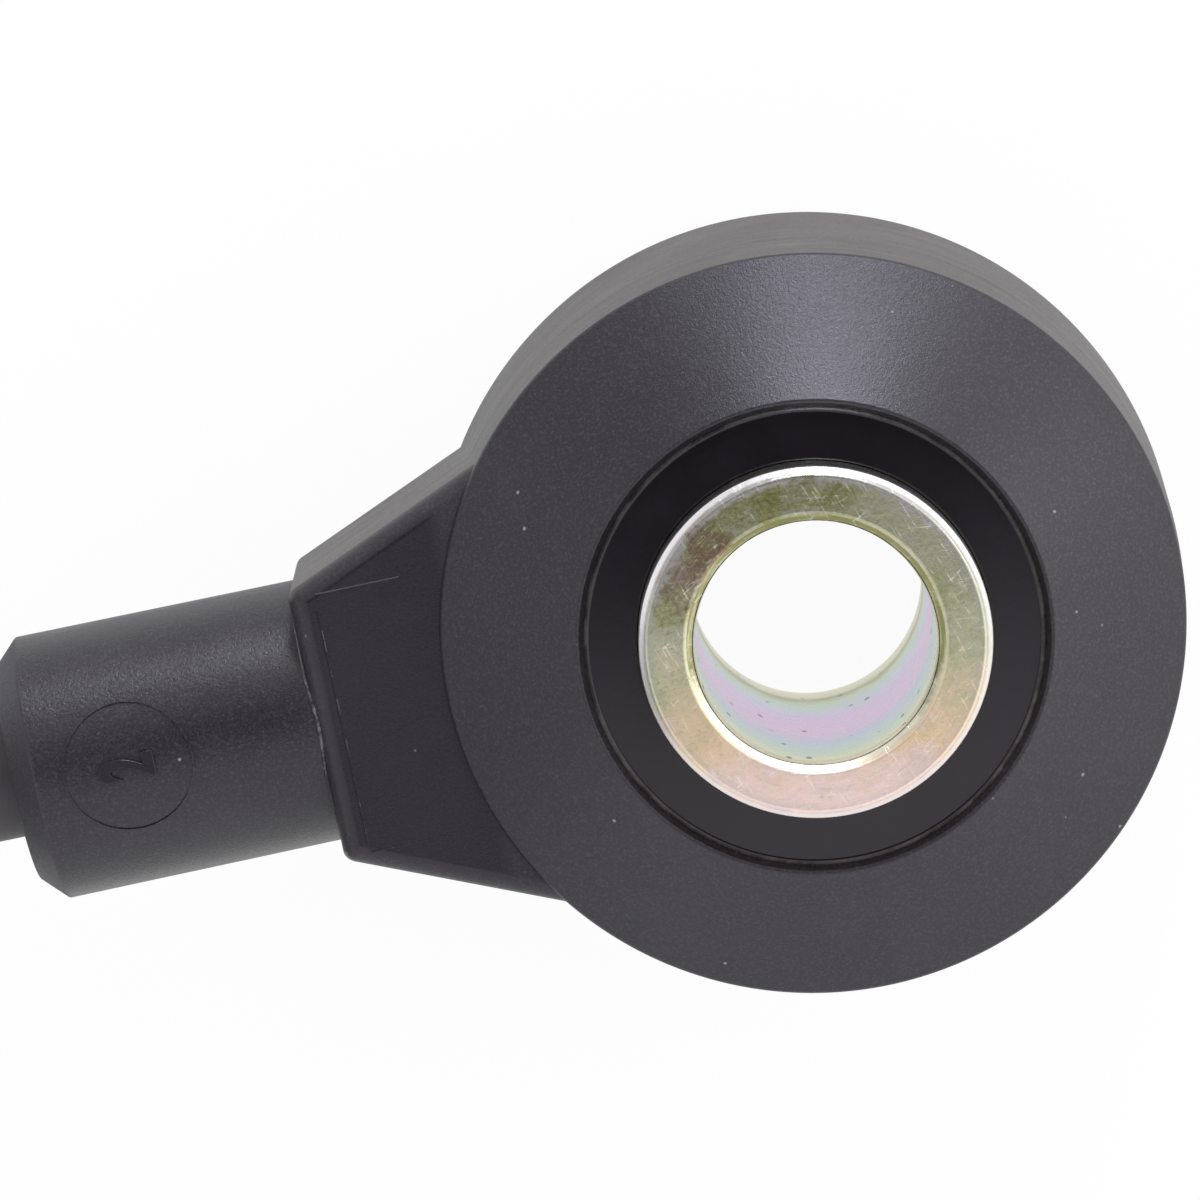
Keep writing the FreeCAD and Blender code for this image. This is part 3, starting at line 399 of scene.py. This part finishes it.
# Plain finishes of the pieces that the moulding or the plug hides, or that only show past the view,
# and of the raised number on the boot
plain = {
    "plain_steel": {"colour": (0.52, 0.52, 0.53), "roughness": 0.30, "metallic": 1.0, "streaks": (1, 1, 12)},
    "film": {"colour": (0.62, 0.30, 0.07), "roughness": 0.35, "metallic": 0.0, "streaks": (1, 1, 1)},
    "contact_metal": {"colour": (0.75, 0.60, 0.30), "roughness": 0.28, "metallic": 1.0, "streaks": (8, 1, 1)},
    "piezo_ceramic": {"colour": (0.72, 0.66, 0.53), "roughness": 0.65, "metallic": 0.0, "streaks": (1, 1, 1)},
    "strand": {"colour": (0.80, 0.42, 0.25), "roughness": 0.30, "metallic": 1.0, "streaks": (1, 6, 6)},
    "signal_cover": {"colour": (0.62, 0.62, 0.60), "roughness": 0.45, "metallic": 0.0, "streaks": (1, 1, 1)},
    "ground_cover": {"colour": (0.025, 0.025, 0.028), "roughness": 0.42, "metallic": 0.0, "streaks": (1, 1, 1)},
    "braid": {"colour": (0.55, 0.54, 0.51), "roughness": 0.38, "metallic": 1.0, "streaks": (6, 6, 6)},
    "boot_rubber": {"colour": (0.018, 0.018, 0.019), "roughness": 0.62, "metallic": 0.0, "streaks": (1, 1, 1)},
    "plug_plastic": {"colour": (0.020, 0.020, 0.022), "roughness": 0.44, "metallic": 0.0, "streaks": (1, 1, 1)},
    "lock_plastic": {"colour": (0.45, 0.07, 0.035), "roughness": 0.40, "metallic": 0.0, "streaks": (1, 1, 1)},
    "terminal_metal": {"colour": (0.66, 0.65, 0.61), "roughness": 0.24, "metallic": 1.0, "streaks": (1, 8, 1)},
    "number": {"colour": (0.0075, 0.0065, 0.0080), "roughness": 0.20, "metallic": 0.0, "streaks": (3, 3, 3)},
    "seal_rubber": {"colour": (0.06, 0.15, 0.30), "roughness": 0.50, "metallic": 0.0, "streaks": (1, 1, 1)},
}


def plainFinish(name, look):
    material, flow, place = newMaterial(name)
    clouds = noise(flow, place, 0.5, 3.0, 0.6)
    streaks = noise(flow, place.scaled(look["streaks"]), 2.0, 4.0, 0.65)
    fine = noise(flow, place, 14.0, 3.0, 0.6)
    dark = tuple(part * 0.80 for part in look["colour"])
    pale = tuple(min(part * 1.16 + 0.004, 1.0) for part in look["colour"])
    colour = (clouds * 0.5 + streaks * 0.5).step(0.3, 0.7).blend(dark, pale)
    roughness = look["roughness"] + (streaks - 0.5) * 0.16
    return finish(material, flow, colour, roughness, look["metallic"], streaks * 0.6 + fine * 0.4, 0.18, 0.03)


# Lead's jacket: dull grey-brown extrusion with rub marks
jacket = {"colour": (0.044, 0.042, 0.043), "rubbed": (0.070, 0.066, 0.065), "roughness": 0.50}


def jacketMaterial():
    material, flow, place = newMaterial("jacket")
    clouds = noise(flow, place, 0.35, 4.0, 0.6)
    fine = noise(flow, place, 7.0, 4.0, 0.7)
    rubbed = (clouds.step(0.48, 0.75) * 0.7 + fine.step(0.5, 0.8) * 0.3).clamped()
    roughness = jacket["roughness"] + (fine - 0.5) * 0.18
    colour = rubbed.blend(jacket["colour"], jacket["rubbed"])
    return finish(material, flow, colour, roughness, 0.0, fine, 0.25, 0.05)


# Thin fins of plastic: dark plastic with pale spots, a painted highlight that grows toward the back
fins = {"rubbed": (0.012, 0.011, 0.013), "joint": (0.135, 0.130, 0.130), "insert": (0.060, 0.058, 0.060)}


def flashMaterial(name, pale):
    material, flow, place = newMaterial(name)
    y = axes(flow, place)[1]
    # painted highlight: pale spots, more of them toward the back
    spots = (noise(flow, place, 2.6, 4.0, 0.85) + y * 0.032).step(0.40, 0.62)
    return finish(material, flow, spots.blend(fins["rubbed"], pale), 0.4, 0.0, spots, 0.3, 0.03)


materials = {
    "moulding": mouldedPlastic(),
    "flash": flashMaterial("flash", fins["joint"]),
    "insertLine": flashMaterial("insertLine", fins["insert"]),
    "yellow_steel": passivatedSteel(),
    "jacket": jacketMaterial(),
}
for slotName, look in plain.items():
    materials[slotName] = plainFinish(slotName, look)


def dressed(made, name):
    made.data.materials.clear()
    made.data.materials.append(materials[name])


for part in frame["record"]["subparts"]:
    dressed(nodes[part["node"]], part["material_slot"])
print("materials made:", len(materials))


# Modelling helpers
def selectOnly(made):
    bpy.ops.object.select_all(action="DESELECT")
    made.select_set(True)
    bpy.context.view_layer.objects.active = made


def applied(made, kind, name, **settings):
    selectOnly(made)
    modifier = made.modifiers.new(name, kind)
    for key, value in settings.items():
        setattr(modifier, key, value)
    bpy.ops.object.modifier_apply(modifier=name)


def settled(made):
    selectOnly(made)
    bpy.ops.object.transform_apply(location=True, rotation=True, scale=True)


def combined(made, tool, operation):
    applied(made, "BOOLEAN", operation.lower(), operation=operation, solver="EXACT", object=tool)
    bpy.data.objects.remove(tool)


def edgesSoftened(made, width, angle):
    applied(made, "BEVEL", "edges", width=width / 1000, segments=3, limit_method="ANGLE",
            angle_limit=math.radians(angle))


def along(first, last, share):
    return tuple(a + (b - a) * share for a, b in zip(first, last))


def drawnLine(name, points, kind, radius, roundness):
    curve = bpy.data.curves.new(name, "CURVE")
    curve.dimensions = "3D"
    curve.bevel_depth = radius / 1000
    curve.bevel_resolution = roundness
    curve.use_fill_caps = True
    line = curve.splines.new(kind)
    line.points.add(len(points) - 1)
    for point, place in zip(line.points, points):
        point.co = (*mm(*place), 1)
    made = bpy.data.objects.new(name, curve)
    bpy.context.scene.collection.objects.link(made)
    return made, line


def turnedPiece(name, stations, axis="Z", middle=(0, 0), segments=256, closed=True):
    # A ring is extruded from station to station (radius, distance along the axis) and resized
    lengthwise = 0 if axis == "X" else 2
    bpy.ops.object.select_all(action="DESELECT")
    radius, distance = stations[0]
    centre = mm(distance, *middle) if axis == "X" else mm(*middle, distance)
    turned = (0, math.pi / 2, 0) if axis == "X" else (0, 0, 0)
    bpy.ops.mesh.primitive_circle_add(vertices=segments, radius=radius / 1000, location=centre,
                                      rotation=turned)
    made = bpy.context.object
    made.name = name
    settled(made)
    bpy.ops.object.mode_set(mode="EDIT")
    bpy.ops.mesh.select_all(action="SELECT")
    if not closed:
        bpy.ops.mesh.edge_face_add()
        bpy.ops.mesh.select_all(action="SELECT")
    for nextRadius, nextDistance in stations[1:] + (stations[:1] if closed else []):
        shift = [0, 0, 0]
        shift[lengthwise] = (nextDistance - distance) / 1000
        bpy.ops.mesh.extrude_region_move(TRANSFORM_OT_translate={"value": shift})
        grown = [nextRadius / radius] * 3
        grown[lengthwise] = 1
        centre = mm(nextDistance, *middle) if axis == "X" else mm(*middle, nextDistance)
        bpy.ops.transform.resize(value=grown, center_override=centre)
        radius, distance = nextRadius, nextDistance
    bpy.ops.mesh.select_all(action="SELECT")
    bpy.ops.mesh.remove_doubles(threshold=0.000002)
    bpy.ops.mesh.normals_make_consistent(inside=False)
    bpy.ops.object.mode_set(mode="OBJECT")
    return made


def blockPiece(name, low, high):
    bpy.ops.object.select_all(action="DESELECT")
    middle = [(a + b) / 2 for a, b in zip(low, high)]
    spans = [b - a for a, b in zip(low, high)]
    bpy.ops.mesh.primitive_cube_add(size=1, location=mm(*middle), scale=mm(*spans))
    made = bpy.context.object
    made.name = name
    settled(made)
    return made


def pickEdges(made, wanted):
    selectOnly(made)
    bpy.ops.object.mode_set(mode="EDIT")
    bpy.ops.mesh.select_all(action="DESELECT")
    bpy.ops.object.mode_set(mode="OBJECT")
    for edge in made.data.edges:
        ends = [made.data.vertices[index].co * 1000 for index in edge.vertices]
        edge.select = wanted(*ends)
    bpy.ops.object.mode_set(mode="EDIT")
    bpy.ops.mesh.select_mode(type="EDGE")


def softened(made, angle=32):
    # the face areas are too small for weighting in metres, so that step works a thousand times larger
    selectOnly(made)
    bpy.ops.object.shade_smooth_by_angle(angle=math.radians(angle))
    made.scale = (1000, 1000, 1000)
    settled(made)
    applied(made, "WEIGHTED_NORMAL", "weights", keep_sharp=True, weight=70)
    made.scale = (0.001, 0.001, 0.001)
    settled(made)


# Lead: the route of the solid lead, as the control points of one smooth line
lead = {
    "exit": (-28.8, 0, 8.0),
    "down": [(-36.4, 0, 8.0), (-44.4, 1.0, 5.1), (-52.3, 4.75, 2.33)],
    "centre": (-72.0, -12.0),
    "turnRadius": 24.0,
    "cornerStep": 30,
    "firstCorner": 77,
    "lastCorner": 797,
    "climbStart": 247,
    "climbSpan": 150,
    "level": 2.33,
    "pitch": 4.65,
    "rise": [(826, 0.35, 2.65), (855, 1.15, 1.05)],  # angle, in from the coil, below the plug's entry
    "plugEntry": (-93.8, -14.8, 15.83),
    "approach": 9.65,
    "radius": 2.3,
    "roundness": 10,
    "length": 388,
}


def leadRoute():
    reach = lead["turnRadius"] / math.cos(math.radians(lead["cornerStep"] / 2))
    centreX, centreY = lead["centre"]

    def overCoil(angle, inward, height):
        turned = math.radians(angle)
        out = reach - inward
        return (centreX + out * math.cos(turned), centreY + out * math.sin(turned), height)

    points = [lead["exit"], *lead["down"]]
    for angle in range(lead["firstCorner"], lead["lastCorner"] + 1, lead["cornerStep"]):
        layer, past = divmod(angle - lead["climbStart"], 360)
        share = min(past / lead["climbSpan"], 1)
        climbed = layer + (1 - math.cos(math.pi * share)) / 2
        points.append(overCoil(angle, 0, lead["level"] + lead["pitch"] * climbed))
    entryX, entryY, entryZ = lead["plugEntry"]
    for angle, inward, below in lead["rise"]:
        points.append(overCoil(angle, inward, entryZ - below))
    points.append((entryX, entryY + lead["approach"], entryZ))
    points.append(lead["plugEntry"])
    return points


def makeLead():
    made, line = drawnLine("lead", leadRoute(), "NURBS", lead["radius"], lead["roundness"])
    line.order_u = 3
    line.use_endpoint_u = True
    line.resolution_u = 16
    dressed(made, "jacket")
    return made


leadObject = makeLead()
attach(leadObject, "root")
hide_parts("cable", "cable_coil", "cable_tail")
mm(*lead["exit"])
print("lead laid:", len(leadRoute()), "points")


# Ring: section of the coned ring, from the flange's hole round to it again (radius, height)
ringShape = {
    "section": [
        (11.0, 1.0), (13.45, 1.0), (13.265, 9.0), (13.235, 9.2), (13.255, 9.4), (13.1, 13.14),
        (8.25, 16.5), (7.97, 16.02), (6.15, 16.1), (6.15, 2.6), (11.0, 2.6),
    ],
    "edge": 0.13,
    "segments": 288,
}


def makeRing():
    ring = turnedPiece("moulding", ringShape["section"], segments=ringShape["segments"])
    edgesSoftened(ring, ringShape["edge"], 25)
    return ring


# Neck: a block that widens to the ring
neckShape = {
    "from": -17.85,
    "to": -9.0,
    "bottom": 3.0,
    "top": 13.0,
    "halfWidth": 4.84,
    "rootHalfWidth": 8.57,
    "rounding": 0.7,
    "corner": 0.3,
    "steps": 8,
}


def makeNeck():
    n = neckShape
    neck = blockPiece("neck", (n["from"], -n["halfWidth"], n["bottom"]), (n["to"], n["halfWidth"], n["top"]))

    def atRoot(a, b):
        return min(a.x, b.x) > n["to"] - 0.01

    pickEdges(neck, atRoot)
    flare = n["rootHalfWidth"] / n["halfWidth"]
    bpy.ops.transform.resize(value=(1, flare, 1), center_override=(0, 0, 0))
    bpy.ops.object.mode_set(mode="OBJECT")
    weights = neck.data.attributes.new("bevel_weight_edge", "FLOAT", "EDGE")
    for edge in neck.data.edges:
        a, b = (neck.data.vertices[index].co * 1000 for index in edge.vertices)
        upright = abs(a.z - b.z) > 1
        share = n["corner"] / n["rounding"] if upright else 1.0
        weights.data[edge.index].value = 0.0 if atRoot(a, b) else share
    applied(neck, "BEVEL", "rounding", width=n["rounding"] / 1000, segments=n["steps"], limit_method="WEIGHT")
    return neck


# Boot: round, slightly wider to its chamfered end, with the hole for the lead (radius, distance)
bootShape = {
    "profile": [(4.7, -12.0), (4.7, -17.6), (4.75, -27.93), (3.88, -28.8)],
    "hole": [(2.34, -18.6), (2.34, -29.5)],
    "height": 8.0,
    "rings": 36,
    "edge": 0.06,
    "segments": 160,
    "holeSegments": 96,
}


def bootPiece(name, profile, segments=bootShape["segments"]):
    return turnedPiece(name, profile, "X", (0, bootShape["height"]), segments, False)


def bootRings():
    neckEnd, shoulder = bootShape["profile"][1:3]
    return [along(neckEnd, shoulder, step / bootShape["rings"]) for step in range(bootShape["rings"] + 1)]


def makeBoot():
    root, end = bootShape["profile"][0], bootShape["profile"][3]
    boot = bootPiece("boot", [root, *bootRings(), end])
    edgesSoftened(boot, bootShape["edge"], 25)
    return boot


# Insert mark: fine lines where a block of the mould meets the neck's face
insertMark = {
    "back": -16.95,
    "front": -14.05,
    "half": 4.7,
    "width": 0.045,
    "height": 0.025,
    "root": 0.3,
    "start": 0.1,  # from the back to where the long lines start
    "overrun": 0.2,  # of the upper line past the front
    "tick": (0.2, 2.0),  # short line in front, from the lower corner
    "dashes": [(-4.6, -3.5), (-3.3, -2.6), (-2.2, -1.9), (-1.2, -0.5), (0.3, 0.9), (1.7, 1.9), (2.6, 3.4)],
    "grooveDepth": 0.04,
    "grooveEnds": (0.4, 0.6),
}


def makeInsertMark():
    i = insertMark
    wide, half, start = i["width"], i["half"], i["back"] + i["start"]
    low, top = neckShape["top"] - i["root"], neckShape["top"] + i["height"]
    lines = blockPiece("insertMark", (start, half - wide, low), (i["front"] + i["overrun"], half, top))
    strokes = [((start, -half, low), (i["front"], wide - half, top))]
    strokes.append(((i["front"] - wide, i["tick"][0] - half, low), (i["front"], i["tick"][1] - half, top)))
    for first, last in i["dashes"]:
        strokes.append(((i["back"] + wide, first, low), (i["back"] + 2 * wide, last, top)))
    for nearCorner, farCorner in strokes:
        combined(lines, blockPiece("stroke", nearCorner, farCorner), "UNION")
    dressed(lines, "insertLine")
    return lines


def makeGroove():
    i = insertMark
    low = (i["back"], i["grooveEnds"][0] - i["half"], neckShape["top"] - i["grooveDepth"])
    high = (i["back"] + i["width"], i["half"] - i["grooveEnds"][1], neckShape["top"] + 1)
    return blockPiece("groove", low, high)


# Cavity mark: a raised ring on the boot with a plain number in it
cavityMark = {
    "at": -24.6,
    "radius": 2.34,
    "height": 0.05,
    "width": 0.07,
    "reach": (9.0, 14.0),
    "number": "2",
    "size": 2.7,
    "narrow": 0.66,
    "shift": (0.86, 0.02),
    "spread": 0.05,
    "thickness": 0.14,
    "edge": 0.04,
}


def makeMarkRing():
    c = cavityMark
    inner, outer = c["radius"] - c["width"], c["radius"]
    low, high = c["reach"]
    ring = turnedPiece("pinMark", [(inner, low), (outer, low), (outer, high), (inner, high)],
                       middle=(c["at"], 0), segments=128)
    raised = [(radius + c["height"], distance) for radius, distance in bootRings()]
    combined(ring, bootPiece("raised", raised), "INTERSECT")
    return ring


def makeNumeral():
    c = cavityMark
    top = bootShape["height"] + bootShape["profile"][0][0]
    place = mm(c["at"] + c["shift"][0], c["shift"][1], top)
    bpy.ops.object.select_all(action="DESELECT")
    bpy.ops.object.text_add(location=place, rotation=(0, 0, math.pi / 2))
    text = bpy.context.object
    text.name = "cavityNumeral"
    text.data.body = c["number"]
    text.data.size = c["size"] / 1000
    text.data.align_x = "CENTER"
    text.data.offset = c["spread"] / 1000
    text.data.extrude = c["thickness"] / 1000
    text.data.bevel_depth = c["edge"] / 1000
    text.scale = (c["narrow"], 1, 1)
    bpy.ops.object.convert(target="MESH")
    settled(text)
    dressed(text, "number")
    return text


# Joint flash: ragged fin of plastic along the joint of neck and boot
jointFlash = {"size": 0.085, "half": 4.3, "steps": 60, "ragged": 0.15, "thickerFrom": 1.8, "thicker": 0.14}


def makeFlash():
    f = jointFlash
    bootRadius, rounding = bootShape["profile"][0][0], neckShape["rounding"]
    flat = neckShape["top"] - rounding
    points = []
    for step in range(f["steps"] + 1):
        across = -f["half"] + 2 * f["half"] * step / f["steps"]
        height = bootShape["height"] + math.sqrt(bootRadius ** 2 - across ** 2)
        back = neckShape["from"]
        if height > flat:
            back += rounding - math.sqrt(rounding ** 2 - (height - flat) ** 2)
        points.append((back, across, height))
    made, line = drawnLine("jointFlash", points, "POLY", f["size"], 3)
    for number, (point, place) in enumerate(zip(line.points, points)):
        point.radius = 1 - f["ragged"] + f["ragged"] * math.sin(number * 1.7) * math.sin(number * 0.63)
        point.radius += f["thicker"] * max(0.0, place[1] - f["thickerFrom"])
    selectOnly(made)
    bpy.ops.object.convert(target="MESH")
    dressed(made, "flash")
    return made


# Moulding: ring, neck and boot in one shot
def makeMoulding():
    moulding = makeRing()
    combined(moulding, makeNeck(), "UNION")
    combined(moulding, makeBoot(), "UNION")
    combined(moulding, bootPiece("hole", bootShape["hole"], bootShape["holeSegments"]), "DIFFERENCE")
    combined(moulding, makeGroove(), "DIFFERENCE")
    combined(moulding, makeMarkRing(), "UNION")
    dressed(moulding, "moulding")
    softened(moulding)
    return moulding


mouldingObject = makeMoulding()
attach(mouldingObject, "root")
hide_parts("housing")
for small in (makeNumeral(), makeFlash(), makeInsertMark()):
    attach(small, "root")
print("moulding made:", len(mouldingObject.data.polygons), "faces")


# Bush: turned steel sleeve with its flange (radius, height)
bush = {
    "section": [
        (4.5, 0.0), (11.0, 0.0), (11.0, 2.6), (6.15, 2.6), (6.15, 17.7),
        (5.87, 18.0), (4.57, 18.0), (4.26, 17.78), (4.2, 17.25), (4.2, 0.3),
    ],
    "edge": 0.06,
    "segments": 288,
}


def makeBush():
    made = turnedPiece("bush", bush["section"], segments=bush["segments"])
    edgesSoftened(made, bush["edge"], 15)
    dressed(made, "yellow_steel")
    softened(made)
    return made


bushObject = makeBush()
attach(bushObject, "root")
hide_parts("sleeve")
print("bush made:", len(bushObject.data.polygons), "faces")


# Studio: a white bench, a bright tent with a dark port over the camera, and two soft lamps
bench = {
    "size": 3.0,
    "drop": 0.00002,
    "white": 0.92,
    "glow": 0.95,  # share of plain white that the camera sees, so that the shadow stays faint
    "shine": 0.88,  # the same in reflections
}
tent = {
    "colour": (0.985, 0.955, 1.03),
    "level": 0.95,
    "rightSide": 0.75,
    "leftSide": 0.15,
    "frontSide": 0.2,
    "dimCorner": (-0.60, 0.74, 0.30),
    "dimEdge": (0.70, 0.98),
    "dimLevel": 0.28,
    "port": (0.0, 0.16, 0.987),
    "portEdge": (0.925, 0.978),
    "portLevel": 0.03,
}
lamps = {
    "key": {"place": (0.17, 0.62, 0.22), "size": (0.16, 0.29), "power": 3.3, "colour": (0.87, 0.85, 1.0)},
    "side": {"place": (0.66, 0.15, 0.32), "size": (0.15, 0.26), "power": 0.4, "colour": (0.95, 0.93, 1.0)},
}


def makeBench():
    bpy.ops.object.select_all(action="DESELECT")
    bpy.ops.mesh.primitive_plane_add(size=bench["size"], location=(0, 0, -bench["drop"]))
    made = bpy.context.object
    made.name = "bench"
    material = bpy.data.materials.new("benchPaper")
    material.use_nodes = True
    tree = material.node_tree
    tree.nodes.clear()
    flow = Flow(tree)
    white = bench["white"]
    paper = flow.node("ShaderNodeBsdfDiffuse", inputs={"Color": (white, white, white, 1)})
    glow = flow.node("ShaderNodeEmission", inputs={"Color": (1, 1, 1, 1), "Strength": 1.0})
    seen = flow.node("ShaderNodeLightPath", output="Is Camera Ray")
    shiny = flow.node("ShaderNodeLightPath", output="Is Glossy Ray")
    share = seen * bench["glow"] + shiny * bench["shine"]
    mixed = flow.node("ShaderNodeMixShader", inputs={0: share, 1: paper, 2: glow})
    out = tree.nodes.new("ShaderNodeOutputMaterial")
    tree.links.new(mixed.socket, out.inputs["Surface"])
    made.data.materials.append(material)


def makeTent():
    world = bpy.data.worlds.new("surround")
    bpy.context.scene.world = world
    world.use_nodes = True
    tree = world.node_tree
    tree.nodes.clear()
    flow = Flow(tree)
    direction = flow.node("ShaderNodeTexCoord", output="Generated")
    across, away, _ = axes(flow, direction)
    level = tent["level"] + across.step(0.1, 1.0) * tent["rightSide"]
    level = level + (across * -1).step(0.3, 1.0) * tent["leftSide"]
    level = level + (away * -1).step(0.0, 0.9) * tent["frontSide"]
    level = level - direction.facing(tent["dimCorner"]).step(*tent["dimEdge"]) * tent["dimLevel"]
    port = direction.facing(tent["port"]).step(*tent["portEdge"])
    level = level * (1 - port) + port * tent["portLevel"]
    seen = flow.node("ShaderNodeLightPath", output="Is Camera Ray")
    strength = level * (1 - seen) + seen
    colour = seen.blend(tent["colour"], (1, 1, 1))
    glow = flow.node("ShaderNodeBackground", inputs={"Color": colour, "Strength": strength})
    out = tree.nodes.new("ShaderNodeOutputWorld")
    tree.links.new(glow.socket, out.inputs["Surface"])


def makeLamp(name, look):
    lamp = bpy.data.lights.new(name, "AREA")
    lamp.shape = "RECTANGLE"
    lamp.size, lamp.size_y = look["size"]
    lamp.energy = look["power"]
    lamp.color = look["colour"]
    made = bpy.data.objects.new(name, lamp)
    bpy.context.scene.collection.objects.link(made)
    made.location = look["place"]
    made.rotation_euler = (-Vector(look["place"])).to_track_quat("-Z", "Y").to_euler()


makeBench()
makeTent()
for lampName, look in lamps.items():
    makeLamp(lampName, look)
bpy.context.scene.view_settings.view_transform = "Standard"
print("studio lit")
